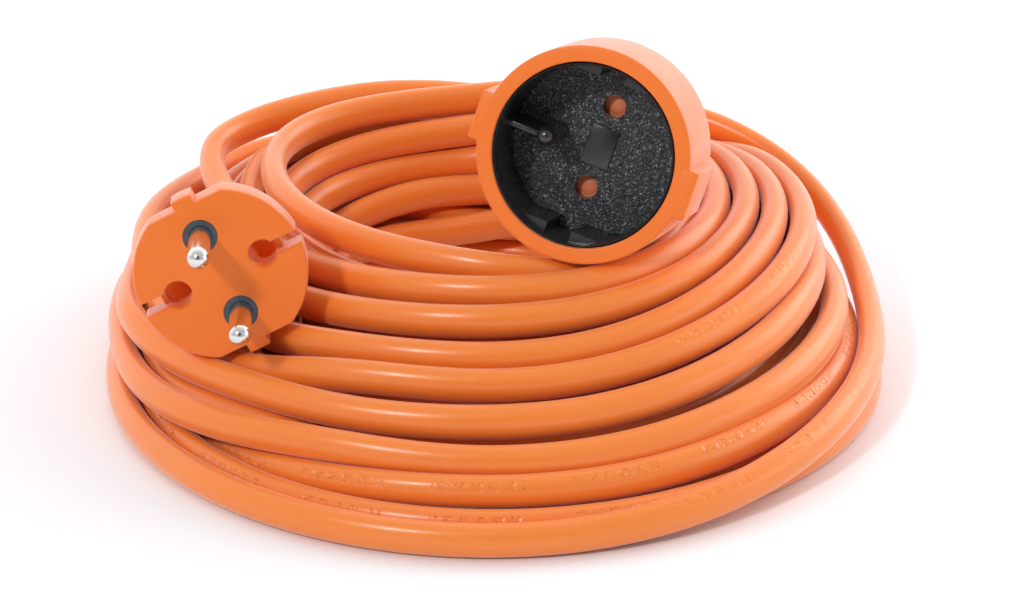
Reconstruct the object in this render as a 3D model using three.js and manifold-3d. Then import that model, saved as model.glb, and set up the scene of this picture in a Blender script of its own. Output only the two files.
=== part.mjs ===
// A 10 m two-core garden extension cord: a contour plug and a shuttered coupler on one coiled cable.
// Units are millimetres, +Z is up, and the origin lies on the floor under the middle of the coil.
// The plug and the coupler are each built in a frame of their own: local +Z points out of the face,
// local X runs along the line of the two pins or pin holes, and the face's centre is the local origin.
import * as THREE from "three";
import { mergeVertices } from "three/addons/utils/BufferGeometryUtils.js";
import Module from "manifold-3d";

const wasm = await Module();
wasm.setup();

// Driving dimensions.
const GAP = 0.3; // between touching pieces
const PIN_SPACING = 19;
const PIN_RADIUS = 2.4;
const PIN_LENGTH = 19; // in front of the plug's face
const CABLE_RADIUS = 3.5;
const CORE_RADIUS = 1.15;
const CRIMP_RADIUS = 2.1;
const CRIMP_LENGTH = 5;

const PLUG = {
  face: new THREE.Vector3(-58.8, -42, 42),
  normal: new THREE.Vector3(0.05, -0.985, 0.13),
  pinLine: new THREE.Vector3(0.44, -0.37, -0.82),
  flangeRadius: 18.9,
  flangeThickness: 7.5,
  flatDistance: 16.8,
  tabWidth: 4.8,
  keyholeRadius: 3.2,
  keyholeDistance: 10,
  keyholeDepth: 12,
  slotWidth: 3.5,
  collarRadius: 3.75,
  bodyEnd: -34,
  reliefEnd: -56,
  bridgeFront: -5,
  bridgeBack: -12.5,
  pinBack: -15,
  sheathFront: -27.8,
};

const COUPLER = {
  face: new THREE.Vector3(19.2, -30, 64.8),
  normal: new THREE.Vector3(-0.24, -0.935, 0.26),
  pinLine: new THREE.Vector3(-0.329, -0.174, -0.928),
  outerRadius: 23.8,
  mouthRadius: 20.3,
  boreRadius: 21.3,
  frontDepth: 23,
  earReach: 25.4,
  earWidth: 11,
  earLength: 17,
  recessRadius: 19.5,
  recessDepth: 17.5,
  floorBack: -20.5,
  holeRadius: 2.6,
  ribDistance: 17.1,
  ribGrooveWidth: 5.7,
  postRadius: 2.3,
  postDistance: 10,
  postHeight: 14,
  webThickness: 1.2,
  chamberRadius: 15,
  carrierRadius: 14.5,
  carrierFront: -24.2,
  carrierBack: -36.5,
  bodyEnd: -50,
  reliefEnd: -70.3,
  sheathFront: -47.3,
};

const SHUTTER = {
  front: -20.9,
  back: -23.2,
  padRadius: 3.4,
  armWidth: 5.2,
  hubRadius: 5,
  pivotRadius: 1.5,
  springY: 6.8,
};

const COIL = {
  centreY: -3.5125,
  lean: 0.55, // how far the stack leans back for each millimetre of height
  stretchX: 0.975,
  holeCentreY: 4,
  holeRadiusLow: 39,
  holeRadiusHigh: 44.5,
  height: 42,
};

// The uncoiled stretches of cable, from each bend relief to where the cable joins the coil.
const PLUG_LEAD = [
  [-61.9, 20, 34.2],
  [-64.2, 28, 34.6],
  [-66.1, 36, 35.6],
  [-65.8, 44.5, 37],
  [-61.6, 52.8, 37.4],
  [-53.4, 59.6, 38.5],
  [-42, 64.9, 39.6],
  [-28, 69.2, 40.2],
  [-14, 72.3, 39.2],
  [-2, 74.4, 37.4],
];
const COUPLER_LEAD = [
  [36.9, 44, 45.2],
  [34.6, 52, 44.4],
  [29.7, 58.8, 43.8],
  [22.9, 63.5, 43.3],
  [14.5, 65.8, 42.6],
  [4, 66.2, 41.7],
  [-6, 65.4, 41],
];

// --- solids -------------------------------------------------------------------------------------

function solid(geometry) {
  geometry.deleteAttribute("normal");
  geometry.deleteAttribute("uv");
  const merged = mergeVertices(geometry, 1e-4);
  return new wasm.Manifold(
    new wasm.Mesh({
      numProp: 3,
      vertProperties: merged.attributes.position.array,
      triVerts: new Uint32Array(merged.index.array),
    }),
  );
}

function geometryOf(body) {
  const mesh = body.getMesh();
  const geometry = new THREE.BufferGeometry();
  geometry.setAttribute("position", new THREE.BufferAttribute(mesh.vertProperties, 3));
  geometry.setIndex(new THREE.BufferAttribute(mesh.triVerts, 1));
  geometry.computeVertexNormals();
  return geometry;
}

function union(...bodies) {
  return bodies.reduce((all, body) => all.add(body));
}

function cut(body, ...tools) {
  return tools.reduce((rest, tool) => rest.subtract(tool), body);
}

// A round bar along Z from zLow to zHigh, with its centre at x, y.
function rod(radius, zLow, zHigh, { x = 0, y = 0, radiusHigh = radius, sides = 32 } = {}) {
  const geometry = new THREE.CylinderGeometry(radiusHigh, radius, zHigh - zLow, sides);
  geometry.rotateX(Math.PI / 2);
  geometry.translate(x, y, (zLow + zHigh) / 2);
  return solid(geometry);
}

function block([xLow, xHigh], [yLow, yHigh], [zLow, zHigh]) {
  const geometry = new THREE.BoxGeometry(xHigh - xLow, yHigh - yLow, zHigh - zLow);
  geometry.translate((xLow + xHigh) / 2, (yLow + yHigh) / 2, (zLow + zHigh) / 2);
  return solid(geometry);
}

// A turned shape: points are [radius, z] from the low end on the axis to the high end on the axis.
function turned(points, sides = 40, squashY = 1) {
  const profile = points.map(([radius, z]) => new THREE.Vector2(radius, z));
  const geometry = new THREE.LatheGeometry(profile, sides);
  geometry.rotateX(Math.PI / 2);
  geometry.scale(1, squashY, 1);
  const body = solid(geometry);
  return body.volume() > 0 ? body : solid(flipped(geometry));
}

function flipped(geometry) {
  const index = geometry.index.array;
  for (let i = 0; i < index.length; i += 3) {
    [index[i + 1], index[i + 2]] = [index[i + 2], index[i + 1]];
  }
  return geometry;
}

// A round tube that follows a smooth curve through points.
function swept(points, radius, steps, sides = 10) {
  const curve = new THREE.CatmullRomCurve3(points.map((p) => new THREE.Vector3(...p)));
  const section = new THREE.Shape();
  section.absarc(0, 0, radius, 0, 2 * Math.PI);
  // A full arc is drawn with two points for each of its segments.
  const settings = { steps, curveSegments: sides / 2, bevelEnabled: false, extrudePath: curve };
  return solid(new THREE.ExtrudeGeometry(section, settings));
}

// --- materials ----------------------------------------------------------------------------------

const MATERIALS = {
  orange: { color: 0xee6a24, roughness: 0.42, metalness: 0 },
  black: { color: 0x202024, roughness: 0.5, metalness: 0 },
  slate: { color: 0x3c4150, roughness: 0.5, metalness: 0 },
  nickel: { color: 0xd8d8d6, roughness: 0.22, metalness: 1 },
  brass: { color: 0xc8a050, roughness: 0.3, metalness: 1 },
  steel: { color: 0xb0b4b8, roughness: 0.3, metalness: 1 },
  brown: { color: 0x6a3a1e, roughness: 0.45, metalness: 0 },
  blue: { color: 0x2f62b0, roughness: 0.45, metalness: 0 },
};

function piece(name, body, materialName) {
  const material = new THREE.MeshStandardMaterial(MATERIALS[materialName]);
  const mesh = new THREE.Mesh(geometryOf(body), material);
  mesh.name = name;
  return mesh;
}

// A group whose local frame sits on a face: Z is its normal and X runs along the pin line.
function faceFrame({ face, normal, pinLine }) {
  const z = normal.clone().normalize();
  const x = pinLine.clone().addScaledVector(z, -pinLine.dot(z)).normalize();
  const y = new THREE.Vector3().crossVectors(z, x);
  const group = new THREE.Group();
  group.quaternion.setFromRotationMatrix(new THREE.Matrix4().makeBasis(x, y, z));
  group.position.copy(face);
  group.updateMatrixWorld(true);
  return group;
}

// The same solid, moved from a group's local frame to the object's frame.
function placed(body, group) {
  return solid(geometryOf(body).applyMatrix4(group.matrixWorld));
}

const SIDES = { line: -1, neutral: 1 };
const CORE_OF = { line: "brown", neutral: "blue" };
const HALF_SPACING = PIN_SPACING / 2;

// --- pieces that the plug and the coupler share ------------------------------------------------

// A crimp barrel behind each pin or contact, and its insulated core back to the sheath.
function addWiring(group, prefix, crimpFront, sheathFront) {
  for (const [pole, side] of Object.entries(SIDES)) {
    const x = side * HALF_SPACING;
    const crimpBack = crimpFront - CRIMP_LENGTH;
    const barrel = cut(
      rod(CRIMP_RADIUS, crimpBack, crimpFront, { x, sides: 16 }),
      rod(CORE_RADIUS, crimpBack - 1, crimpBack + 3, { x, sides: 12 }),
    );
    group.add(piece(`${prefix}_crimp_${pole}`, barrel, "brass"));
    const start = crimpBack - GAP;
    const end = sheathFront + 3 * GAP;
    const route = [
      [x, 0, start],
      [x * 0.93, 0, start - 1.2],
      [x * 0.3, 0, end + 1.6],
      [side * 1.7, 0, end],
    ];
    group.add(piece(`${prefix}_core_${CORE_OF[pole]}`, swept(route, CORE_RADIUS, 10, 8), CORE_OF[pole]));
  }
}

// The end of the sheath inside the body, and the tapered boot that the cable leaves through.
function addCableExit(group, prefix, { bodyEnd, reliefEnd, sheathFront }) {
  const sheath = rod(CABLE_RADIUS, reliefEnd - GAP, sheathFront, { sides: 12 });
  group.add(piece(`${prefix}_sheath_end`, sheath, "orange"));
  const bore = CABLE_RADIUS + GAP;
  const front = bodyEnd - GAP;
  const boot = turned([
    [bore, reliefEnd],
    [bore + 1.1, reliefEnd],
    [bore + 2, reliefEnd + 6],
    [bore + 4, front - 2],
    [bore + 4.2, front],
    [bore, front],
    [bore, reliefEnd],
  ]);
  group.add(piece(`${prefix}_bend_relief`, boot, "orange"));
}

// --- the plug -----------------------------------------------------------------------------------

function plugOutline(grow = 0) {
  const { flangeRadius, flangeThickness, bodyEnd } = PLUG;
  const flange = rod(flangeRadius + grow, -flangeThickness - grow, grow, { sides: 64 });
  const body = turned(
    [
      [0, bodyEnd - grow],
      [8.8 + grow, bodyEnd - grow],
      [9.5 + grow, bodyEnd + 3],
      [12.5 + grow, -24],
      [14.8 + grow, -16],
      [15.8 + grow, -6],
      [0, -6],
    ],
    40,
    0.92,
  );
  return union(flange, body);
}

function addPlug(group) {
  const p = PLUG;
  const flatCuts = [];
  for (const side of [-1, 1]) {
    for (const half of [-1, 1]) {
      const x = [side * p.flatDistance, side * 21].sort((a, b) => a - b);
      const y = [(half * p.tabWidth) / 2, half * 12].sort((a, b) => a - b);
      flatCuts.push(block(x, y, [-p.flangeThickness - 0.5, 1]));
    }
  }
  const keyholes = [-1, 1].flatMap((side) => {
    const slotY = [side * p.keyholeDistance, side * 21].sort((a, b) => a - b);
    const halfSlot = p.slotWidth / 2;
    return [
      rod(p.keyholeRadius, -p.keyholeDepth, 1, { y: side * p.keyholeDistance, sides: 24 }),
      block([-halfSlot, halfSlot], slotY, [-p.flangeThickness - 0.5, 1]),
    ];
  });
  const pocket = union(
    block([-14.4, 14.4], [-4.7, 4.7], [-13, p.bridgeFront + GAP]),
    block([-12.4, 12.4], [-3.6, 3.6], [-22, -12]),
    block([-10.8, 10.8], [-3.2, 3.2], [-24, -21]),
    block([-8.6, 8.6], [-3.2, 3.2], [-28, -23.5]),
    rod(CABLE_RADIUS + GAP, p.bodyEnd - 1, -27, { sides: 24 }),
    ...[-1, 1].map((side) =>
      rod(p.collarRadius + GAP, p.bridgeFront - 1, 1, { x: side * HALF_SPACING, sides: 28 }),
    ),
  );
  const shell = cut(plugOutline(), ...flatCuts, ...keyholes, pocket);
  group.add(piece("plug_shell", shell, "orange"));

  const bar = block([-14.1, 14.1], [-4.4, 4.4], [p.bridgeBack, p.bridgeFront]);
  const collars = [-1, 1].map((side) =>
    rod(p.collarRadius, p.bridgeFront - 1, -0.1, { x: side * HALF_SPACING, sides: 28 }),
  );
  const pinHoles = [-1, 1].map((side) =>
    rod(PIN_RADIUS + GAP, -14, 1, { x: side * HALF_SPACING, sides: 24 }),
  );
  group.add(piece("plug_bridge", cut(union(bar, ...collars), ...pinHoles), "slate"));

  for (const [pole, side] of Object.entries(SIDES)) {
    const pin = turned(
      [
        [0, p.pinBack],
        [PIN_RADIUS, p.pinBack],
        [PIN_RADIUS, PIN_LENGTH - 1.8],
        [PIN_RADIUS * 0.8, PIN_LENGTH - 0.7],
        [PIN_RADIUS * 0.4, PIN_LENGTH],
        [0, PIN_LENGTH],
      ],
      24,
    );
    const mesh = piece(`plug_pin_${pole}`, pin, "nickel");
    mesh.position.x = side * HALF_SPACING;
    group.add(mesh);
  }
  addWiring(group, "plug", p.pinBack - GAP, p.sheathFront);
  addCableExit(group, "plug", p);
}

// --- the coupler --------------------------------------------------------------------------------

function couplerOutline(grow = 0) {
  const { outerRadius, frontDepth, bodyEnd, earReach, earWidth, earLength } = COUPLER;
  const body = turned(
    [
      [0, bodyEnd - grow],
      [8.8 + grow, bodyEnd - grow],
      [9.6 + grow, bodyEnd + 2],
      [15.5 + grow, -43],
      [20.4 + grow, -33],
      [22.2 + grow, -frontDepth - grow],
      [outerRadius + grow, -frontDepth - grow],
      [outerRadius + grow, -1 + grow],
      [outerRadius - 1 + grow, grow],
      [0, grow],
    ],
    64,
  );
  const half = earWidth / 2 + grow;
  const ears = block([-half, half], [-earReach - grow, earReach + grow], [-earLength - grow, -0.6]);
  return union(body, ears);
}

function addCouplerBody(group) {
  const c = COUPLER;
  const cavity = union(
    rod(c.mouthRadius, -3, 1, { sides: 64 }),
    rod(c.boreRadius, c.floorBack - GAP, -1.5, { sides: 64 }),
    rod(c.chamberRadius, c.carrierBack - GAP, -20, { sides: 48 }),
    block([-12, 12], [-3, 3], [-44.4, -36]),
    block([-9.4, 9.4], [-3, 3], [-47.6, -44]),
    rod(CABLE_RADIUS + GAP, c.bodyEnd - 1, -47, { sides: 24 }),
  );
  group.add(piece("coupler_shell", cut(couplerOutline(), cavity), "orange"));

  const ribs = [-1, 1].flatMap((side) =>
    [-1, 1].map((half) => {
      const x = [side * c.ribDistance, side * 22].sort((a, b) => a - b);
      const y = [(half * c.ribGrooveWidth) / 2, half * 12].sort((a, b) => a - b);
      return block(x, y, [-c.recessDepth - 0.5, -3]);
    }),
  );
  const recess = cut(rod(c.recessRadius, -c.recessDepth, 1, { sides: 64 }), ...ribs);
  const cup = union(
    rod(c.boreRadius - GAP, c.floorBack, -1.8, { sides: 64 }),
    rod(c.mouthRadius - GAP, -3, -0.3, { sides: 64 }),
  );
  const halfWeb = c.webThickness / 2;
  const postTop = -c.recessDepth + c.postHeight;
  const post = rod(c.postRadius, -c.recessDepth - 0.5, postTop, { y: -c.postDistance, sides: 24 });
  const web = block([-halfWeb, halfWeb], [-20, -c.postDistance], [-c.recessDepth - 0.5, postTop - 1.5]);
  const table = block([-4.5, 4.5], [-3.25, 3.25], [-c.recessDepth - 0.5, -c.recessDepth + 0.5]);
  const holes = [-1, 1].map((side) =>
    rod(c.holeRadius, c.floorBack - 1, -c.recessDepth + 1, { x: side * HALF_SPACING, sides: 24 }),
  );
  const insert = cut(union(cut(cup, recess), post, web, table), ...holes);
  group.add(piece("coupler_insert", insert, "black"));

  // The carrier holds the two contact sleeves and the stop that the shutter's spring leans on.
  const carrier = cut(
    union(
      rod(c.carrierRadius, c.carrierBack, c.carrierFront, { sides: 48 }),
      block([-8.6, -6.9], [5.2, 8.4], [c.carrierFront - 0.5, SHUTTER.front - 0.1]),
    ),
    ...[-1, 1].map((side) =>
      rod(3.3, c.carrierBack - 1, c.carrierFront + 1, { x: side * HALF_SPACING, sides: 24 }),
    ),
    rod(SHUTTER.pivotRadius + 0.1, -30, c.carrierFront + 1, { sides: 20 }),
  );
  group.add(piece("contact_carrier", carrier, "black"));

  for (const [pole, side] of Object.entries(SIDES)) {
    const sleeve = cut(
      rod(3, c.carrierBack, c.carrierFront, { sides: 24 }),
      rod(2.35, c.carrierBack + 1, c.carrierFront + 1, { sides: 24 }),
      block([-0.4, 0.4], [0, 4], [c.carrierBack + 2, c.carrierFront + 1]),
    );
    const mesh = piece(`contact_${pole}`, sleeve, "brass");
    mesh.position.x = side * HALF_SPACING;
    group.add(mesh);
  }
}

// The shutter covers both pin holes at rest and turns about the coupler's axis to free them.
function addShutter(group) {
  const s = SHUTTER;
  const arm = s.armWidth / 2;
  const pads = [-1, 1].map((side) =>
    rod(s.padRadius, s.back, s.front, { x: side * HALF_SPACING, sides: 28 }),
  );
  const plate = union(
    rod(s.hubRadius, s.back, s.front, { sides: 32 }),
    block([-HALF_SPACING, HALF_SPACING], [-arm, arm], [s.back, s.front]),
    block([1.5, 3.2], [0, s.springY + 1.6], [s.back, s.front]),
    ...pads,
  );
  const hole = rod(s.pivotRadius + GAP, s.back - 1, s.front + 1, { sides: 20 });
  group.add(piece("shutter", cut(plate, hole), "orange"));
  group.add(piece("shutter_pivot", rod(s.pivotRadius, -29.5, s.front + 0.1, { sides: 20 }), "steel"));

  const coils = 7;
  const pointsPerCoil = 8;
  const left = -6.5;
  const right = 1.1;
  const middle = (s.front + s.back) / 2;
  const count = coils * pointsPerCoil;
  const helix = Array.from({ length: count + 1 }, (_, i) => {
    const angle = (2 * Math.PI * i) / pointsPerCoil;
    const x = left + ((right - left) * i) / count;
    return [x, s.springY + Math.cos(angle), middle + Math.sin(angle)];
  });
  group.add(piece("shutter_spring", swept(helix, 0.22, count, 6), "steel"));
}

// --- the cable ----------------------------------------------------------------------------------

function extended(points, length) {
  const last = new THREE.Vector3(...points.at(-1));
  const before = new THREE.Vector3(...points.at(-2));
  const beyond = last.clone().add(last.clone().sub(before).setLength(length));
  return [...points, beyond.toArray()];
}

// The outer shape of the wound cable: a low ring that leans back as it rises, lower towards its rim.
function coilOutline() {
  const profile = [
    [0, 0],
    [85, 0],
    [89.5, 2.5],
    [91, 7],
    [88, 13],
    [82, 20],
    [75, 27],
    [68, 34],
    [62, 39],
    [56, COIL.height],
    [0, COIL.height],
  ];
  const heap = turned(profile, 56);
  const hole = rod(COIL.holeRadiusLow, -1, COIL.height + 1, { radiusHigh: COIL.holeRadiusHigh, sides: 48 });
  const lean = new THREE.Matrix4().makeShear(0, 0, 0, 0, 0, COIL.lean);
  const stretch = new THREE.Matrix4().makeScale(COIL.stretchX, 1, 1);
  const heapPlace = new THREE.Matrix4().makeTranslation(0, COIL.centreY, 0).multiply(lean).multiply(stretch);
  const holePlace = new THREE.Matrix4().makeTranslation(0, COIL.holeCentreY, 0);
  holePlace.multiply(new THREE.Matrix4().makeShear(0, 0, 0, 0, 0, COIL.lean / 2));
  return cut(
    solid(geometryOf(heap).applyMatrix4(heapPlace)),
    solid(geometryOf(hole).applyMatrix4(holePlace)),
  );
}

function reliefClearance({ bodyEnd, reliefEnd }) {
  return rod(5.4, reliefEnd - 1, bodyEnd, { radiusHigh: 8.6, sides: 24 });
}

function leadStart(group, { reliefEnd }, offset) {
  return new THREE.Vector3(0, 0, reliefEnd - 2 * GAP - offset).applyMatrix4(group.matrixWorld).toArray();
}

function addCable(root, plugGroup, couplerGroup) {
  const clearance = CABLE_RADIUS + GAP + 0.1;
  const leads = [
    ["plug_lead", plugGroup, PLUG, PLUG_LEAD],
    ["coupler_lead", couplerGroup, COUPLER, COUPLER_LEAD],
  ];
  let coil = coilOutline();
  for (const [name, group, body, points] of leads) {
    const route = [leadStart(group, body, 0), leadStart(group, body, 3), ...points];
    root.add(piece(name, swept(route, CABLE_RADIUS, 30), "orange"));
    coil = coil.subtract(swept(extended(route, GAP), clearance, 32));
    coil = coil.subtract(placed(reliefClearance(body), group));
  }
  coil = coil.subtract(placed(plugOutline(0.5), plugGroup));
  coil = coil.subtract(placed(couplerOutline(0.5), couplerGroup));
  const parts = coil.decompose().sort((a, b) => b.volume() - a.volume());
  root.add(piece("cable_coil", parts[0], "orange"));
}

const extensionCord = new THREE.Group();
const plug = faceFrame(PLUG);
const coupler = faceFrame(COUPLER);
addPlug(plug);
addCouplerBody(coupler);
addShutter(coupler);
addWiring(coupler, "coupler", COUPLER.carrierBack - GAP, COUPLER.sheathFront);
addCableExit(coupler, "coupler", COUPLER);
addCable(extensionCord, plug, coupler);
extensionCord.add(plug, coupler);

export default extensionCord;
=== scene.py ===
"""The looks of a 10 m orange extension cord: a coiled oval cable, a contour plug and a shuttered coupler.

Lengths are in millimetres until a mesh or matrix is made, which is in metres. The plug and the coupler
are each built in a frame of their own: local +Z points out of the face, and local X runs along the line
of the pins.
"""

import math

import bmesh
import bpy
import numpy as np
from mathutils import Matrix, Vector


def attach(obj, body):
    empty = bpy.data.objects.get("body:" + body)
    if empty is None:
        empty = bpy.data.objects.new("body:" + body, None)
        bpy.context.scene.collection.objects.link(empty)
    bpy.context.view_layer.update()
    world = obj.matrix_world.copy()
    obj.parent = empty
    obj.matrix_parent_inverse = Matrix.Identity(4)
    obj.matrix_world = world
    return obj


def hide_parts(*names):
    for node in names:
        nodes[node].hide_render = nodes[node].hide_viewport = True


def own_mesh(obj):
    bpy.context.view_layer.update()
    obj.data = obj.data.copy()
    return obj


MM = 0.001
GAP = 0.3

# The same places and sizes as in the CAD source.
PLUG = {
    "face": (-58.8, -42, 42),
    "normal": (0.05, -0.985, 0.13),
    "pin_line": (0.44, -0.37, -0.82),
    "body_end": -34,
    "relief_end": -56,
}
COUPLER = {
    "face": (19.2, -30, 64.8),
    "normal": (-0.24, -0.935, 0.26),
    "pin_line": (-0.329, -0.174, -0.928),
    "body_end": -50,
    "relief_end": -70.3,
}
PIN_SPACING = 19
PIN_RADIUS = 2.4
PIN_LENGTH = 19.0
KEYHOLE_DEPTH = 12
RECESS_RADIUS = 19.5
RECESS_DEPTH = 17.5
SHUTTER_FRONT = -20.9
SHUTTER_BACK = -23.2
CABLE_WIDE = 7.6
CABLE_NARROW = 5.9

# The plug's flange, with keyholes a little narrower than the CAD's.
FLANGE_RADIUS = 18.9
FLANGE_BACK = -7.5
FLANGE_FLAT = 16.8
HALF_TAB = 2.4
HALF_SLOT = 1.5
KEYHOLE_RADIUS = 3.0
KEYHOLE_DISTANCE = 10.2

# The uncoiled stretches of cable, from each bend relief to the coil.
PLUG_LEAD = [
    (-61.9, 20, 34.2),
    (-64.2, 28, 34.6),
    (-66.1, 36, 35.6),
    (-65.8, 44.5, 37),
    (-61.6, 52.8, 37.4),
    (-53.4, 59.6, 38.5),
    (-42, 64.9, 39.6),
    (-28, 69.2, 40.2),
    (-14, 72.3, 39.2),
    (-2, 74.4, 37.4),
]
COUPLER_LEAD = [
    (36.9, 44, 45.2),
    (34.6, 52, 44.4),
    (29.7, 58.8, 43.8),
    (22.9, 63.5, 43.3),
    (14.5, 65.8, 42.6),
    (4, 66.2, 41.7),
    (-6, 65.4, 41),
]
# The first turn lies on top of the coil, and is widest behind the plug.
FIRST_TURN = [
    (-17.6, 63.4, 40.6),
    (-28, 60.4, 40.3),
    (-38.2, 55.4, 40),
    (-45, 49.6, 39.7),
    (-49.4, 42.4, 39.4),
    (-51, 34.2, 39.2),
    (-50.7, 25, 39.1),
    (-48.6, 13, 39),
    (-43.8, 0, 38.9),
    (-35.4, -11.3, 39),
    (-25, -20.4, 39.2),
    (-13, -28, 39.4),
]
# The last turn is loose: it climbs the right side of the coil to the plug's lead.
LOOSE_TURN = [
    (84.6, 15, 14),
    (79, 41, 22),
    (65.7, 55.8, 30),
    (52.7, 63.5, 34.5),
    (28, 71.5, 37),
]

# The coil as columns of turns, from its hole outwards. Each column has its number of turns, and the
# (distance from the middle, height) of its top turn and its lowest turn at the front, right, back and left.
# The turns between them are spaced evenly.
COLUMNS = [
    (5, ((33, 39.5), (36, 8)), ((44.6, 38), (46, 6)), ((62, 39.7), (57, 11)), ((50, 37), (41, 6))),
    (3, ((39, 36.5), (43, 12)), ((50.9, 38), (52, 14)), ((67.5, 34), (61, 4.5)), ((54.5, 30), (50, 12))),
    (4, ((46, 32.7), (48, 4)), ((57.5, 37.5), (57, 6)), ((73, 30), (66, 11.5)), ((60, 25), (57, 5))),
    (3, ((54, 27.5), (53, 8)), ((63.9, 36), (62, 12)), ((78, 26), (72, 8)), ((66.5, 23.5), (66, 10))),
    (3, ((60, 24), (59, 6)), ((70.5, 33.5), (66, 14)), ((82.5, 21), (78, 13.5)), ((79.5, 23), (73, 12))),
    (
        2,
        ((68.5, 19.5), (69.5, 10)),
        ((72.5, 26.5), (71.5, 16.5)),
        ((82, 15), (76, 8.5)),
        ((82, 16.5), (77, 9)),
    ),
    (2, ((76.5, 13.5), (73, 5)), ((77.3, 19), (73.5, 7)), ((78, 12), (66, 4)), ((84.5, 11.2), (76, 14))),
    (2, ((80.2, 8.2), (79.7, 4)), ((80, 10), (76.5, 4)), ((82.5, 10), (72, 4)), ((73, 4), (68, 4))),
    (1, ((86.5, 4), (86.5, 4)), ((85, 4), (85, 4)), ((78, 4), (78, 4)), ((79, 4), (79, 4))),
    (1, ((93, 4), (93, 4)), ((85, 11.2), (85, 11.2)), ((84.5, 4), (84.5, 4)), ((84.8, 4), (84.8, 4))),
]

# (local z, radius) of the shapes that the cable is kept clear of.
PLUG_KEEP_OUT = [
    (-57, 5),
    (-34, 8.8),
    (-31, 9.5),
    (-24, 12.5),
    (-16, 14.8),
    (-8, 15.8),
    (-7.6, FLANGE_RADIUS),
    (0.5, FLANGE_RADIUS),
    (1, 0),
]
COUPLER_KEEP_OUT = [
    (-71, 5),
    (-50, 8.8),
    (-48, 9.6),
    (-43, 15.5),
    (-33, 20.4),
    (-23, 23.8),
    (0.5, 23.8),
    (1, 0),
]

# How each turn is shaped: a turn is squarer at its back left the further its corner is below 1, and LEANS
# has each column's stretch of the left side for each millimetre that a point is behind the turn's middle.
VISIBLE_CORNER = 0.72
HIDDEN_CORNER = 0.9
LEANS = (0.005, 0.004, 0.002, 0, 0, 0, 0, 0, 0, 0)

START_ANGLE = math.radians(112)
FIRST_TURN_END = math.radians(262)
LAST_TURN_END = math.radians(355)
STEPS_PER_TURN = 32
CROSSING_START = 0.78
CROSSING = 0.22  # the share of a turn in which the cable passes to the next one's place
POINT_SPACING = 6.2
MESH_SPACING = 3.1

# How strongly each stretch of the route keeps to its drawn place while it settles.
HOLD_LEAD = 1.0
HOLD_FIRST_TURN = 0.7
HOLD_LOOSE_TURN = 0.6
HOLD_IN_SIGHT = 0.5
HOLD_HIDDEN = 0.02

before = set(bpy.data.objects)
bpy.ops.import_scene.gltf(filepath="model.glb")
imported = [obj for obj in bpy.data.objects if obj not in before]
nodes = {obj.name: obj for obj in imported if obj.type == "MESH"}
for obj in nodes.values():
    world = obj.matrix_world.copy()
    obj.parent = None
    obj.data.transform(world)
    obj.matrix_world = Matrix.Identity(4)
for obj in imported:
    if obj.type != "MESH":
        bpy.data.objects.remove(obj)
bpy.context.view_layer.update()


# --- frames, camera and light -------------------------------------------------------------------


def axes_of(place):
    """The columns local X, Y and Z of a face's frame."""
    z = np.array(place["normal"], float)
    z /= np.linalg.norm(z)
    x = np.array(place["pin_line"], float)
    x -= z * (x @ z)
    x /= np.linalg.norm(x)
    return np.stack([x, np.cross(z, x), z], axis=1)


def matrix_of(place):
    matrix = Matrix(axes_of(place).tolist()).to_4x4()
    matrix.translation = Vector(place["face"]) * MM
    return matrix


def add_camera():
    """A long lens from the front, 24 degrees above the floor."""
    data = bpy.data.cameras.new("camera")
    data.lens = 140.6
    data.sensor_width = 36
    camera = bpy.data.objects.new("camera", data)
    camera.location = (0.004, -0.8312, 0.3876)
    camera.rotation_euler = (math.radians(90 - 24), 0, 0)
    bpy.context.scene.collection.objects.link(camera)
    bpy.context.scene.camera = camera


def add_area_light(name, place, aim, size, power):
    data = bpy.data.lights.new(name, "AREA")
    data.shape = "RECTANGLE"
    data.size, data.size_y = size
    data.energy = power
    light = bpy.data.objects.new(name, data)
    light.location = place
    light.rotation_euler = (Vector(aim) - Vector(place)).to_track_quat("-Z", "Y").to_euler()
    bpy.context.scene.collection.objects.link(light)


def add_world():
    """A white studio, brightest behind the object, with a fixed dark patch out in front of it."""
    world = bpy.data.worlds.new("studio")
    bpy.context.scene.world = world
    world.use_nodes = True
    tree = world.node_tree
    background = tree.nodes["Background"]
    coordinates = tree.nodes.new("ShaderNodeTexCoord")
    split = tree.nodes.new("ShaderNodeSeparateXYZ")
    towards = tree.nodes.new("ShaderNodeVectorMath")
    towards.operation = "DOT_PRODUCT"
    towards.inputs[1].default_value = (0, -0.914, 0.407)  # the patch's middle
    total = tree.nodes.new("ShaderNodeMath")
    tree.links.new(coordinates.outputs["Generated"], split.inputs[0])
    tree.links.new(coordinates.outputs["Generated"], towards.inputs[0])
    # Each ramp has its value, where it starts and ends, and the light's strength there.
    ramps = (
        (towards.outputs["Value"], 0.90, 0.985, 0.62, 0.03),
        (split.outputs["Y"], -0.4, 0.9, 0, 0.8),
    )
    for number, (value, start, end, low, high) in enumerate(ramps):
        ramp = tree.nodes.new("ShaderNodeMapRange")
        ramp.interpolation_type = "SMOOTHSTEP"
        ramp.inputs["From Min"].default_value = start
        ramp.inputs["From Max"].default_value = end
        ramp.inputs["To Min"].default_value = low
        ramp.inputs["To Max"].default_value = high
        tree.links.new(value, ramp.inputs["Value"])
        tree.links.new(ramp.outputs["Result"], total.inputs[number])
    background.inputs["Color"].default_value = (1, 0.985, 1, 1)
    tree.links.new(total.outputs["Value"], background.inputs["Strength"])


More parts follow.
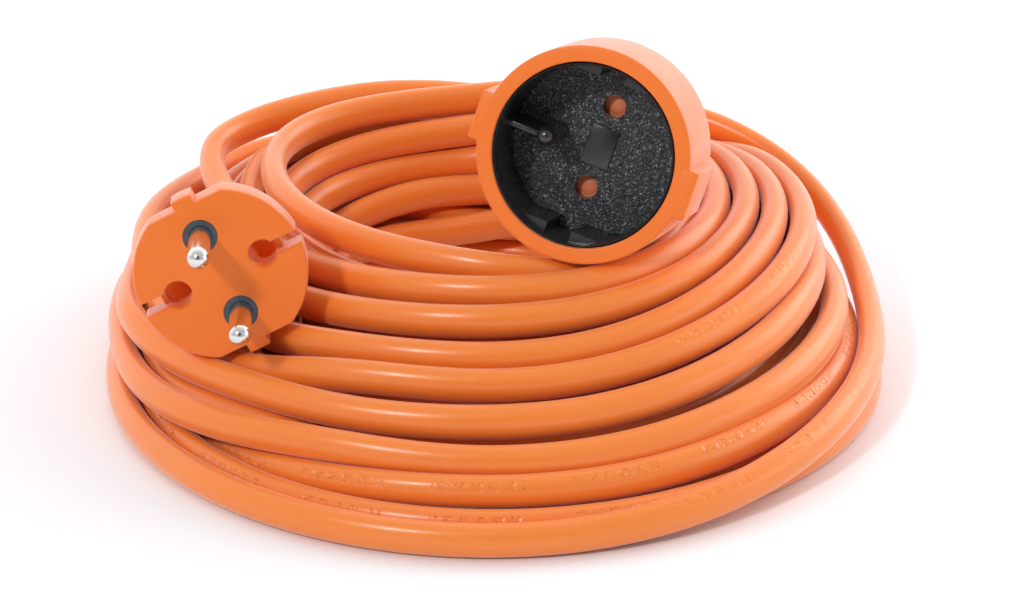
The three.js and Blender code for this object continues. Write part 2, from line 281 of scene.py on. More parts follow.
def add_studio():
    add_camera()
    add_world()
    add_area_light("key", (-1.0, -1.64, 1.5), (0, 0, 0.04), (0.22, 0.22), 18.4)
    add_area_light("right_back", (0.85, 0.45, 0.5), (0.03, 0, 0.03), (0.8, 0.6), 3.9)
    add_area_light("left", (-0.9, 0.1, 0.5), (0, 0, 0.03), (0.6, 0.5), 0.2)
    add_area_light("right", (0.95, -0.25, 0.28), (0.05, 0, 0.02), (0.5, 0.4), 1.0)
    view = bpy.context.scene.view_settings
    view.view_transform = "Standard"
    view.look = "None"


# --- materials ----------------------------------------------------------------------------------


class Shader:
    """A material's node tree with short ways to add and join nodes."""

    def __init__(self, name):
        self.material = bpy.data.materials.new(name)
        self.material.use_nodes = True
        self.tree = self.material.node_tree
        self.surface = self.tree.nodes["Principled BSDF"]

    def node(self, kind, **settings):
        made = self.tree.nodes.new(kind)
        for key, value in settings.items():
            setattr(made, key, value)
        return made

    def link(self, output, target):
        self.tree.links.new(output, target)

    def coordinates(self, which="Object"):
        return self.node("ShaderNodeTexCoord").outputs[which]

    def noise(self, scale, detail=2.0, roughness=0.5, vector=None):
        made = self.node("ShaderNodeTexNoise")
        made.inputs["Scale"].default_value = scale
        made.inputs["Detail"].default_value = detail
        made.inputs["Roughness"].default_value = roughness
        self.link(vector or self.coordinates(), made.inputs["Vector"])
        return made.outputs["Fac"]

    def ranged(self, value, low, high, start=0.3, end=0.7):
        made = self.node("ShaderNodeMapRange")
        made.inputs["From Min"].default_value = start
        made.inputs["From Max"].default_value = end
        made.inputs["To Min"].default_value = low
        made.inputs["To Max"].default_value = high
        self.link(value, made.inputs["Value"])
        return made.outputs["Result"]

    def mixed(self, factor, first, second):
        made = self.node("ShaderNodeMix", data_type="RGBA")
        self.link(factor, made.inputs["Factor"])
        made.inputs["A"].default_value = (*first, 1)
        made.inputs["B"].default_value = (*second, 1)
        return made.outputs["Result"]

    def math(self, operation, first, second):
        made = self.node("ShaderNodeMath", operation=operation)
        for value, target in ((first, made.inputs[0]), (second, made.inputs[1])):
            if isinstance(value, (int, float)):
                target.default_value = value
            else:
                self.link(value, target)
        return made.outputs["Value"]

    def bump(self, height, distance, strength=1.0, under=None):
        made = self.node("ShaderNodeBump")
        made.inputs["Distance"].default_value = distance
        made.inputs["Strength"].default_value = strength
        self.link(height, made.inputs["Height"])
        if under is not None:
            self.link(under, made.inputs["Normal"])
        return made.outputs["Normal"]


def plastic(name, first, second, rough, grain, grain_height=0.00003, specular=0.5, sheen=0.0):
    """Moulded plastic: two close tones, roughness that varies in patches, and a fine moulded grain."""
    shader = Shader(name)
    shader.link(shader.mixed(shader.noise(55, 4), first, second), shader.surface.inputs["Base Color"])
    shader.link(shader.ranged(shader.noise(260, 3), rough[0], rough[1]), shader.surface.inputs["Roughness"])
    fine = shader.bump(shader.noise(grain, 3, 0.6), grain_height)
    shader.link(fine, shader.surface.inputs["Normal"])
    shader.surface.inputs["Specular IOR Level"].default_value = specular
    shader.surface.inputs["Sheen Weight"].default_value = sheen
    shader.surface.inputs["Sheen Roughness"].default_value = 0.35
    return shader.material


def cable_material():
    """Satin soft vinyl with faint flow marks, small scuffs and groups of plain raised ticks on one flat.

    The UV map runs in metres along the cable and in turns round it, from the outward flat.
    """
    shader = Shader("cable_sheath")
    surface = shader.surface
    tone = shader.mixed(shader.noise(38, 5), (0.83, 0.215, 0.030), (0.89, 0.245, 0.040))
    shader.link(tone, surface.inputs["Base Color"])
    scuffs = shader.ranged(shader.noise(700, 3, 0.6), 0.28, 0.34, 0.42, 0.72)
    shader.link(scuffs, surface.inputs["Roughness"])
    split = shader.node("ShaderNodeSeparateXYZ")
    shader.link(shader.coordinates("UV"), split.inputs[0])
    along, around = split.outputs["X"], split.outputs["Y"]
    tick_pitch, group_pitch, group_length, band_middle = 0.0017, 0.029, 0.019, 0.11
    ticks = shader.ranged(shader.math("PINGPONG", along, tick_pitch), 0, 1, 0.0004, 0.0009)
    grouped = shader.math("LESS_THAN", shader.math("MODULO", along, group_pitch), group_length)
    stretches = shader.ranged(shader.noise(0.9, 1, 0.5, shader.coordinates("UV")), 0, 1, 0.53, 0.56)
    groups = shader.math("MULTIPLY", grouped, stretches)
    from_band = shader.math("ABSOLUTE", shader.math("SUBTRACT", around, band_middle), 0)
    band = shader.ranged(from_band, 1, 0, 0.035, 0.05)
    worn = shader.ranged(shader.noise(1100, 0), 0, 1, 0.42, 0.5)
    worn_ticks = shader.math("MULTIPLY", ticks, worn)
    marks = shader.math("MULTIPLY", worn_ticks, shader.math("MULTIPLY", groups, band))
    raised = shader.bump(marks, 0.00016, 1.0)
    flow = shader.bump(shader.noise(60, 1, 0.5), 0.00012, 0.2, raised)
    grain = shader.bump(shader.noise(1200, 2), 0.000005, 0.4, flow)
    shader.link(grain, surface.inputs["Normal"])
    surface.inputs["Specular IOR Level"].default_value = 0.5
    surface.inputs["Sheen Weight"].default_value = 0.55
    surface.inputs["Sheen Roughness"].default_value = 0.35
    surface.inputs["Sheen Tint"].default_value = (1, 0.9, 0.92, 1)
    surface.inputs["Subsurface Weight"].default_value = 0.06
    surface.inputs["Subsurface Radius"].default_value = (0.002, 0.0006, 0.0002)
    return shader.material


def sparkle_material():
    """The spark-eroded floor of the socket: a rough dark ground whose glints come partly from its bumps and
    strong specular, and partly are painted highlights, pale specks in its colour.
    """
    shader = Shader("rough_floor")
    surface = shader.surface
    cells = shader.node("ShaderNodeTexVoronoi")
    cells.inputs["Scale"].default_value = 2700
    shader.link(shader.coordinates(), cells.inputs["Vector"])
    # Painted highlights: pale specks in the colour stand for glints of light, and stay bright in shade as
    # well.
    painted_glint = shader.ranged(shader.noise(2200, 2, 0.7), 0, 1, 0.58, 0.66)
    tone = shader.mixed(painted_glint, (0.032, 0.033, 0.037), (0.48, 0.49, 0.51))
    shader.link(tone, surface.inputs["Base Color"])
    shader.link(shader.ranged(shader.noise(1500, 2), 0.2, 0.5), surface.inputs["Roughness"])
    coarse = shader.bump(cells.outputs["Distance"], 0.00035, 1.0)
    shader.link(shader.bump(shader.noise(1900, 3, 0.7), 0.0003, 1.0, coarse), surface.inputs["Normal"])
    surface.inputs["Specular IOR Level"].default_value = 1.0
    return shader.material


def metal(name, first, second, rough):
    """Drawn metal: two close tones, patchy roughness and a very fine grain."""
    shader = Shader(name)
    shader.link(shader.mixed(shader.noise(120, 3), first, second), shader.surface.inputs["Base Color"])
    shader.link(shader.ranged(shader.noise(700, 3), rough[0], rough[1]), shader.surface.inputs["Roughness"])
    shader.link(shader.bump(shader.noise(1500, 2), 0.00002, 0.5), shader.surface.inputs["Normal"])
    shader.surface.inputs["Metallic"].default_value = 1
    return shader.material


def floor_material():
    shader = Shader("studio_floor")
    tone = shader.mixed(shader.noise(3, 2), (0.92, 0.94, 0.965), (0.935, 0.955, 0.98))
    shader.link(tone, shader.surface.inputs["Base Color"])
    shader.link(shader.ranged(shader.noise(40, 3), 0.6, 0.75), shader.surface.inputs["Roughness"])
    shader.surface.inputs["Specular IOR Level"].default_value = 0.1
    return shader.material


# --- meshes -------------------------------------------------------------------------------------


def mesh_object(name, vertices, faces, smooth_angle=math.radians(32)):
    """A new object from points in millimetres."""
    mesh = bpy.data.meshes.new(name)
    mesh.from_pydata([tuple(c * MM for c in v) for v in vertices], [], faces)
    mesh.validate()
    made = bpy.data.objects.new(name, mesh)
    bpy.context.scene.collection.objects.link(made)
    outward(mesh)
    mesh.shade_smooth()
    mesh.set_sharp_from_angle(angle=smooth_angle)
    return made


def outward(mesh):
    work = bmesh.new()
    work.from_mesh(mesh)
    bmesh.ops.remove_doubles(work, verts=work.verts, dist=1e-7)
    bmesh.ops.recalc_face_normals(work, faces=work.faces)
    work.to_mesh(mesh)
    work.free()


def turned(name, profile, sides=96, squash_y=1.0, x=0.0, y=0.0):
    """A solid turned about local Z. Its profile is a closed loop, or runs from the axis to the axis."""
    closed = profile[0][0] > 0 or profile[-1][0] > 0
    rings, vertices, faces = [], [], []
    for radius, z in profile:
        if radius <= 1e-9:
            rings.append([len(vertices)])
            vertices.append((x, y, z))
            continue
        rings.append(list(range(len(vertices), len(vertices) + sides)))
        for k in range(sides):
            angle = 2 * math.pi * k / sides
            vertices.append((x + radius * math.cos(angle), y + radius * squash_y * math.sin(angle), z))
    pairs = list(zip(rings, rings[1:]))
    if closed:
        pairs.append((rings[-1], rings[0]))
    for low, high in pairs:
        for k in range(sides):
            a, b = low[k % len(low)], low[(k + 1) % len(low)]
            c, d = high[(k + 1) % len(high)], high[k % len(high)]
            corners = list(dict.fromkeys((a, b, c, d)))
            if len(corners) > 2:
                faces.append(corners)
    return mesh_object(name, vertices, faces)


def rounded(profile, radius, steps=4):
    """The profile with each inner corner replaced by an arc-like curve of about that radius."""
    out = [profile[0]]
    for before, corner, after in zip(profile, profile[1:], profile[2:]):
        a, b, c = (np.array(p, float) for p in (before, corner, after))
        cut = min(radius, 0.45 * np.linalg.norm(a - b), 0.45 * np.linalg.norm(c - b))
        start = b + (a - b) / np.linalg.norm(a - b) * cut
        end = b + (c - b) / np.linalg.norm(c - b) * cut
        for k in range(steps + 1):
            t = k / steps
            out.append(tuple((1 - t) ** 2 * start + 2 * t * (1 - t) * b + t * t * end))
    return [*out, profile[-1]]


def slab(name, x_range, y_range, z_range, bevel=0.0, segments=3):
    corners = [(x, y, z) for z in z_range for y in y_range for x in x_range]
    faces = [(0, 1, 3, 2), (4, 6, 7, 5), (0, 4, 5, 1), (2, 3, 7, 6), (0, 2, 6, 4), (1, 5, 7, 3)]
    made = mesh_object(name, corners, faces)
    if bevel:
        work = bmesh.new()
        work.from_mesh(made.data)
        bmesh.ops.bevel(
            work, geom=work.edges[:], offset=bevel * MM, segments=segments, profile=0.5, affect="EDGES"
        )
        work.to_mesh(made.data)
        work.free()
        made.data.shade_smooth()
        made.data.set_sharp_from_angle(angle=math.radians(50))
    return made


def drum(name, radius, z_low, z_high, x=0.0, y=0.0, sides=64):
    return turned(name, [(0, z_low), (radius, z_low), (radius, z_high), (0, z_high)], sides, x=x, y=y)


def combine(target, tools, operation):
    """Joins or cuts target with tools, which are removed."""
    for tool in tools:
        modifier = target.modifiers.new("boolean", "BOOLEAN")
        modifier.operation = operation
        modifier.solver = "EXACT"
        modifier.object = tool
        apply_modifiers(target)
        bpy.data.objects.remove(tool)
    target.data.shade_smooth()
    target.data.set_sharp_from_angle(angle=math.radians(32))
    return target


def apply_modifiers(target):
    depsgraph = bpy.context.evaluated_depsgraph_get()
    made = bpy.data.meshes.new_from_object(target.evaluated_get(depsgraph))
    target.modifiers.clear()
    old = target.data
    target.data = made
    bpy.data.meshes.remove(old)


def joined(target, others):
    """One object of several meshes, each of which keeps its own materials."""
    work = bmesh.new()
    materials = []
    for source in [target, *others]:
        copy = source.data.copy()
        first = len(materials)
        materials += list(copy.materials)
        start = len(work.faces)
        work.from_mesh(copy)
        work.faces.ensure_lookup_table()
        for face in work.faces[start:]:
            face.material_index += first
        bpy.data.meshes.remove(copy)
    target.data.materials.clear()
    for material in materials:
        target.data.materials.append(material)
    work.to_mesh(target.data)
    work.free()
    for source in others:
        bpy.data.objects.remove(source)
    return target


def painted(target, material):
    target.data.materials.clear()
    target.data.materials.append(material)
    return target


def place(target, place_matrix, replaced, slot, body="cord"):
    """Moves a piece from its local frame to the object's frame, and lets it stand for CAD nodes."""
    target.matrix_world = place_matrix
    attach(target, body)
    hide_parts(*replaced)
    return target


# --- the cable ----------------------------------------------------------------------------------


def eased(t):
    t = min(max(t, 0), 1)
    return t * t * (3 - 2 * t)


def turn_stations():
    """For each turn, its four (distance, height) stations, if it is in sight, and its lean and corner."""
    turns = []
    for number, (count, *stations) in enumerate(COLUMNS):
        levels = range(count) if number % 2 == 0 else reversed(range(count))
        for level in levels:
            share = level / max(count - 1, 1)
            spots = [np.array(top) * (1 - share) + np.array(low) * share for top, low in stations]
            corner = VISIBLE_CORNER if level == 0 else HIDDEN_CORNER
            turns.append((spots, number == 0 or level == 0, (LEANS[number], corner)))
    return turns


def turn_point(spots, angle, lean, corner):
    """A point of a closed turn through its four stations, squarer and wider at the back left."""
    front, right, back, left = spots
    c, s = math.cos(angle), math.sin(angle)
    z = max(-s, 0) ** 2 * front[1] + max(s, 0) ** 2 * back[1]
    z += max(c, 0) ** 2 * right[1] + max(-c, 0) ** 2 * left[1]
    if c < 0 < s:
        c, s = -((-c) ** corner), s**corner
    side = right[0] if c > 0 else left[0]
    deep = (back[0] + front[0]) / 2 * s
    stretch = 1 + lean * deep if c < 0 else 1
    return np.array((side * c * stretch, (back[0] - front[0]) / 2 + deep, z))


def lead_points(end, points):
    """A lead's route, from inside the bend relief."""
    face, axes = np.array(end["face"], float), axes_of(end)
    starts = [face + axes @ np.array((0, 0, end["relief_end"] - 2 * GAP - back)) for back in (0, 3)]
    return starts + [np.array(p, float) for p in points]


def evenly(points, spacing):
    """Points at an even spacing on a smooth curve through points."""
    p = np.array(points, float)
    p = np.vstack([2 * p[0] - p[1], p, 2 * p[-1] - p[-2]])
    curve = []
    for a, b, c, d in zip(p[:-3], p[1:-2], p[2:-1], p[3:]):
        for t in np.linspace(0, 1, 12, endpoint=False):
            square = (2 * a - 5 * b + 4 * c - d) * t * t
            curve.append(0.5 * (2 * b + (c - a) * t + square + (3 * b - a - 3 * c + d) * t**3))
    curve = np.array([*curve, p[-2]])
    travel = np.concatenate([[0], np.cumsum(np.linalg.norm(np.diff(curve, axis=0), axis=1))])
    marks = np.linspace(0, travel[-1], round(travel[-1] / spacing) + 1)
    return np.stack([np.interp(marks, travel, curve[:, k]) for k in range(3)], axis=1)


def wound_route():
    """The cable's route as drawn, and how strongly each point is held to it."""
    route = lead_points(COUPLER, COUPLER_LEAD)
    hold = [HOLD_LEAD] * len(route)
    route += [np.array(p, float) for p in FIRST_TURN]
    hold += [HOLD_FIRST_TURN] * len(FIRST_TURN)
    turns = turn_stations()
    for number, (spots, in_sight, shape) in enumerate(turns):
        last = number == len(turns) - 1
        for step in range(STEPS_PER_TURN):
            share = step / STEPS_PER_TURN
            angle = START_ANGLE + 2 * math.pi * share
            if number == 0 and angle < FIRST_TURN_END:
                continue
            if last and angle > LAST_TURN_END:
                break
            point = turn_point(spots, angle, *shape)
            if not last:
                next_spots, _, next_shape = turns[number + 1]
                onward = turn_point(next_spots, angle, *next_shape)
                point = point + (onward - point) * eased((share - CROSSING_START) / CROSSING)
            route.append(point)
            hold.append(HOLD_IN_SIGHT if in_sight else HOLD_HIDDEN)
    route += [np.array(p, float) for p in LOOSE_TURN]
    hold += [HOLD_LOOSE_TURN] * len(LOOSE_TURN)
    tail = lead_points(PLUG, PLUG_LEAD)[::-1]
    route += tail
    hold += [HOLD_LEAD] * len(tail)
    even = evenly(route, POINT_SPACING)
    travel = np.concatenate([[0], np.cumsum(np.linalg.norm(np.diff(np.array(route), axis=0), axis=1))])
    return even, np.interp(np.linspace(0, travel[-1], len(even)), travel, hold)


def pushed_clear(points, end, keep_out):
    """How far each point moves to leave a turned shape."""
    axes = axes_of(end)
    local = (points - np.array(end["face"], float)) @ axes
    reach = np.hypot(local[:, 0], local[:, 1])
    heights, radii = zip(*keep_out)
    radius = np.interp(local[:, 2], heights, radii, left=0, right=0)
    need = np.where(radius > 0, np.clip(radius + CABLE_WIDE / 2 - 0.1 - reach, 0, None), 0)
    move = np.zeros_like(local)
    move[:, :2] = local[:, :2] / np.maximum(reach, 1e-6)[:, None] * need[:, None]
    return move @ axes.T


def settled(points, hold, steps=320):
    """The route after its turns have been pushed apart, bent smooth and laid on the floor.

    Contact is tested in a space that is flattened until the oval cable is round. Until most of the steps
    are done, the points keep to the drawn route and sag. Then they only push apart and smooth.
    """
    stiffness, pull, sag, guided_share = 0.055, 0.06, 0.05, 0.75
    near_reach, contact_reach, along_cable = CABLE_NARROW + 4.5, 0.62, 8
    flatten = np.array((1, 1, CABLE_NARROW / CABLE_WIDE))
    drawn = points.copy()
    fixed = hold > 0.95
    floor = CABLE_WIDE / 2 + 0.05
    for step in range(steps):
        flat = points * flatten
        if step % 8 == 0:
            size = (flat * flat).sum(axis=1)
            near = size[:, None] + size[None, :] - 2 * flat @ flat.T < near_reach**2
            first, second = np.nonzero(near)
            apart = np.abs(first - second) > along_cable
            first, second = first[apart], second[apart]
        tangent = np.gradient(flat, axis=0)
        pace = np.linalg.norm(tangent, axis=1)
        tangent /= pace[:, None]
        between = flat[second] - flat[first]
        along = (between * tangent[second]).sum(axis=1)
        across = between - along[:, None] * tangent[second]
        distance = np.linalg.norm(across, axis=1)
        hit = (np.abs(along) < contact_reach * pace[second]) & (distance < CABLE_NARROW)
        push = across[hit] / np.maximum(distance[hit], 0.05)[:, None]
        push *= 0.5 * (CABLE_NARROW - distance[hit])[:, None]
        move, count = np.zeros_like(points), np.zeros(len(points))
        np.add.at(move, first[hit], -push)
        np.add.at(move, second[hit], push)
        np.add.at(count, first[hit], 1)
        np.add.at(count, second[hit], 1)
        points = points + move / np.maximum(count, 1)[:, None] ** 0.7 / flatten
        bend = np.zeros_like(points)
        bend[2:-2] = points[:-4] - 4 * points[1:-3] + 6 * points[2:-2] - 4 * points[3:-1] + points[4:]
        points = points - stiffness * bend
        if step < guided_share * steps:
            points = points + (pull * hold)[:, None] * (drawn - points)
            points[:, 2] -= sag * (hold < HOLD_IN_SIGHT)
        points = points + 0.7 * pushed_clear(points, PLUG, PLUG_KEEP_OUT)
        points = points + 0.7 * pushed_clear(points, COUPLER, COUPLER_KEEP_OUT)
        points[:, 2] = np.maximum(points[:, 2], floor)
        points[fixed] = drawn[fixed]
    return points


def oval_tube(name, path, sides=24):
    """The cable's mesh: an oval swept along path, its wide axis upright but for a small twist.

    On the right flank the oval leans inwards, so that the turns lie against each other.
    """
    tangent = np.gradient(path, axis=0)
    tangent /= np.linalg.norm(tangent, axis=1)[:, None]
    side = np.cross(tangent, (0, 0, 1))
    side /= np.linalg.norm(side, axis=1)[:, None]
    up = np.cross(side, tangent)
    travel = np.concatenate([[0], np.cumsum(np.linalg.norm(np.diff(path, axis=0), axis=1))])
    twist = np.radians(9) * np.sin(travel / 61) * np.sin(travel / 173)
    roll = twist + np.radians(22) * np.clip(path[:, 0] / 60, 0, 1)
    lean_side = side * np.cos(roll)[:, None] + up * np.sin(roll)[:, None]
    lean_up = up * np.cos(roll)[:, None] - side * np.sin(roll)[:, None]
    angles = 2 * np.pi * np.arange(sides) / sides
    ring = np.stack([CABLE_NARROW / 2 * np.cos(angles), CABLE_WIDE / 2 * np.sin(angles)], axis=1)
    vertices = (
        path[:, None, :]
        + ring[None, :, 0, None] * lean_side[:, None, :]
        + ring[None, :, 1, None] * lean_up[:, None, :]
    ).reshape(-1, 3)
    faces, layout = [], []
    for row in range(len(path) - 1):
        u, u_next = travel[row] * MM, travel[row + 1] * MM
        for k in range(sides):
            following = (k + 1) % sides
            low, high = row * sides, (row + 1) * sides
            faces.append((low + k, low + following, high + following, high + k))
            v, v_next = k / sides, (k + 1) / sides
            layout += [(u, v), (u, v_next), (u_next, v_next), (u_next, v)]
    for start in (0, (len(path) - 1) * sides):
        cap = list(range(start, start + sides))
        faces.append(cap if start else cap[::-1])
        layout += [(travel[0] * MM, 0)] * sides
    mesh = bpy.data.meshes.new(name)
    mesh.from_pydata((vertices * MM).tolist(), [], faces)
    layer = mesh.uv_layers.new(name="along_around")
    layer.data.foreach_set("uv", np.array(layout, np.float32).ravel())
    mesh.shade_smooth()
    made = bpy.data.objects.new(name, mesh)
    bpy.context.scene.collection.objects.link(made)
    return made


def add_cable(material):
    route, hold = wound_route()
    route = settled(route, hold)
    path = evenly(route, MESH_SPACING)
    cable = painted(oval_tube("cable", path), material)
    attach(cable, "cord")
    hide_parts("cable_coil", "plug_lead", "coupler_lead")
    return cable, path


# --- the plug -----------------------------------------------------------------------------------


def keyhole_points(side, steps=24):
    """The flange's outline round a keyhole, from the slot's left lip to its right one."""
    opening = math.asin(HALF_SLOT / KEYHOLE_RADIUS)
    points = []
    for k in range(steps + 1):
        angle = math.pi / 2 + opening + (2 * math.pi - 2 * opening) * k / steps
        x = KEYHOLE_RADIUS * math.cos(angle)
        y = KEYHOLE_DISTANCE + KEYHOLE_RADIUS * math.sin(angle)
        points.append((side * x, side * y))
    return points


def rim_points(side, start, end, steps):
    """An arc of the flange's round rim, on the side 1 or the side -1 across from it."""
    angles = [start + (end - start) * k / steps for k in range(steps + 1)]
    return [(side * FLANGE_RADIUS * math.cos(a), side * FLANGE_RADIUS * math.sin(a)) for a in angles]


def flange_outline():
    """The flange from its face: round, with slots and keyholes at local +Y and -Y and tabs at +X and -X."""
    tab_edge = math.atan2(HALF_TAB, FLANGE_RADIUS)
    flat_edge = math.acos(FLANGE_FLAT / FLANGE_RADIUS)
    slot_edge = math.asin(HALF_SLOT / FLANGE_RADIUS)
    points = []
    for side in (1, -1):
        points += rim_points(side, -tab_edge, tab_edge, 6)
        points.append((side * FLANGE_FLAT, side * HALF_TAB))
        points += rim_points(side, flat_edge, math.pi / 2 - slot_edge, 22)
        points += keyhole_points(side)[::-1]
        points += rim_points(side, math.pi / 2 + slot_edge, math.pi - flat_edge, 22)
        points.append((-side * FLANGE_FLAT, side * HALF_TAB))
    return points


def inset(points, amount):
    """A closed outline moved inwards along its vertex normals."""
    p = np.array(points, float)
    ahead = np.roll(p, -1, axis=0) - p
    ahead /= np.linalg.norm(ahead, axis=1)[:, None]
    behind = np.roll(ahead, 1, axis=0)
    normal = np.stack([-(ahead + behind)[:, 1], (ahead + behind)[:, 0]], axis=1)
    normal /= np.linalg.norm(normal, axis=1)[:, None]
    return p + normal * amount


def extruded(name, outline, levels):
    """A slab with shaped edges: levels are (inset, z) from the bottom to the top."""
    count = len(outline)
    vertices = [(x, y, z) for amount, z in levels for x, y in inset(outline, amount)]
    faces = []
    for row in range(len(levels) - 1):
        for k in range(count):
            low, high, following = row * count, (row + 1) * count, (k + 1) % count
            faces.append((low + k, low + following, high + following, high + k))
    faces.append(list(range(count))[::-1])
    faces.append(list(range((len(levels) - 1) * count, len(levels) * count)))
    return mesh_object(name, vertices, faces)


def pin_sides():
    return {"line": -PIN_SPACING / 2, "neutral": PIN_SPACING / 2}


def relief(name, end):
    """A tapered boot with grooves, that the cable leaves through."""
    front, back = end["body_end"] + 0.4, end["relief_end"]
    bore, ridges, narrow_end, taper = 3.95, 6, 5.0, 2.6
    profile = [(bore, back + 0.2), (4.3, back), (4.9, back + 0.4)]
    pitch = (front - back - 4) / ridges
    for k in range(ridges):
        base = back + 1.6 + pitch * k
        outer = narrow_end + (k + 0.5) / ridges * taper
        profile += [
            (outer, base),
            (outer + 0.12, base + pitch * 0.55),
            (outer - 0.55, base + pitch * 0.65),
            (outer - 0.45, base + pitch * 0.9),
        ]
    profile += [(7.9, front - 1), (8.0, front), (bore, front)]
    return turned(name, rounded(profile, 0.25, 2), 64)


def add_plug(orange, slate, nickel):
    matrix = matrix_of(PLUG)
    back_edge = [(0.9, FLANGE_BACK), (0.35, -7.35), (0.08, -7.05), (0, -6.6)]
    front_edge = [(0, -0.8), (0.07, -0.35), (0.3, -0.08), (0.75, 0)]
    shell = extruded("plug_housing", flange_outline(), back_edge + front_edge)
    end = PLUG["body_end"]
    tail = [(0, end), (8.2, end), (9.5, -31), (12.5, -24), (14.8, -16)]
    body = turned("plug_back", rounded([*tail, (15.8, -8.5), (15.8, -4), (0, -4)], 1.2), 96, 0.92)
    hollows = [
        drum("hole", KEYHOLE_RADIUS, -KEYHOLE_DEPTH, 2, y=side * KEYHOLE_DISTANCE, sides=48)
        for side in (1, -1)
    ]
    hollows += [
        slab("finger_relief", (-9, 9), sorted((side * 7.6, side * 18)), (-12.5, -7.55))
        for side in (1, -1)
    ]
    hollows.append(drum("exit", 4.0, -36, -27, sides=48))
    body = combine(body, hollows, "DIFFERENCE")
    shell = combine(shell, [body], "UNION")
    collar_holes = [drum("collar_hole", 3.76, -5, 1, x=x, sides=56) for x in pin_sides().values()]
    shell = combine(shell, collar_holes, "DIFFERENCE")
    pieces = [place(painted(shell, orange), matrix, ["plug_shell"], "orange_pvc")]

    rings = []
    for x in pin_sides().values():
        profile = [(2.43, -4.8), (3.72, -4.8), (3.72, -0.08), (3.6, 0.04), (2.52, 0.04), (2.43, -0.05)]
        rings.append(turned("collar", profile, 64, x=x))
    bar = slab("plug_collars", (-14.1, 14.1), (-4.4, 4.4), (-12.5, -5.05), 0.6)
    collars = joined(painted(bar, slate), [painted(r, slate) for r in rings])
    pieces.append(place(collars, matrix, ["plug_bridge"], "slate_plastic"))

    for pole, x in pin_sides().items():
        tip_start, tip_steps = PIN_LENGTH - PIN_RADIUS, 12
        profile = [(0, -15), (2.1, -15), (PIN_RADIUS, -14.6), (PIN_RADIUS, tip_start)]
        for k in range(1, tip_steps):
            angle = math.pi / 2 * k / tip_steps
            profile.append((PIN_RADIUS * math.cos(angle), tip_start + PIN_RADIUS * math.sin(angle)))
        profile.append((0, PIN_LENGTH))
        pin = painted(turned(f"pin_{pole}", profile, 64, x=x), nickel)
        pieces.append(place(pin, matrix, [f"plug_pin_{pole}"], "nickel"))
    boot = painted(relief("plug_boot", PLUG), orange)
    pieces.append(place(boot, matrix, ["plug_bend_relief"], "orange_pvc"))
    return pieces


# --- the coupler --------------------------------------------------------------------------------


def wire(name, points, radius):
    """A round wire through points."""
    curve = bpy.data.curves.new(name, "CURVE")
    curve.dimensions = "3D"
    curve.bevel_depth = radius * MM
    curve.bevel_resolution = 3
    curve.use_fill_caps = True
    spline = curve.splines.new("POLY")
    spline.points.add(len(points) - 1)
    for spot, point in zip(spline.points, points):
        spot.co = (*(c * MM for c in point), 1)
    line = bpy.data.objects.new(name, curve)
    bpy.context.scene.collection.objects.link(line)
    mesh = bpy.data.meshes.new_from_object(line.evaluated_get(bpy.context.evaluated_depsgraph_get()))
    bpy.data.objects.remove(line)
    made = bpy.data.objects.new(name, mesh)
    bpy.context.scene.collection.objects.link(made)
    mesh.shade_smooth()
    return made


def add_spring(steel):
    """The shutter's return spring, which the shutter's finger presses against the stop on its left."""
    left, right, y, z, coils, steps, wire_radius = -6.5, 1.1, 6.8, -22.05, 7, 24, 0.22
    helix = []
    for k in range(coils * steps + 1):
        angle = 2 * math.pi * k / steps
        x = left + (right - left) * k / (coils * steps)
        helix.append((x, y + math.cos(angle), z + math.sin(angle)))
    spring = painted(wire("return_spring", helix, wire_radius), steel)
    place(spring, matrix_of(COUPLER), ["shutter_spring"], "steel")
    axes = axes_of(COUPLER)
    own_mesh(spring)


